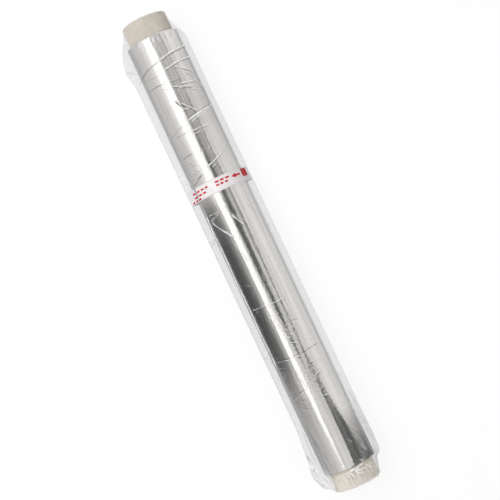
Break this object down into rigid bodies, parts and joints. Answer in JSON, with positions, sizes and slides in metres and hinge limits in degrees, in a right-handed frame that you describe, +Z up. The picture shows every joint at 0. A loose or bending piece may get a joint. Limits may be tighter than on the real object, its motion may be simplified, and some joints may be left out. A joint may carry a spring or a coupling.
{
  "type": "aluminium foil roll",
  "caption": "Slim household roll of aluminium foil on a cardboard core, lying in a clear film sleeve that is tucked into the core, with a printed tear strip.",
  "frame": {"origin": "on the surface that the roll lies on, under the middle of the foil winding", "axes": "+X along the roll towards its loosely tucked end, +Y across it, +Z up"},
  "size_m": [0.3288, 0.0472, 0.0359],
  "materials": {
    "core_card": "plain pale grey-brown board",
    "foil": "bright rolled foil, nearly a mirror, with fine rolling lines",
    "clear_film": "thin clear glossy film",
    "strip_film": "milky pinkish white film",
    "strip_ink": "flat red ink"
  },
  "bodies": {
    "root": {"core_tube": "core_card", "foil_winding": "foil", "film_sleeve": "clear_film", "tear_strip": "strip_film", "strip_print": "strip_ink"}
  },
  "joints": []
}
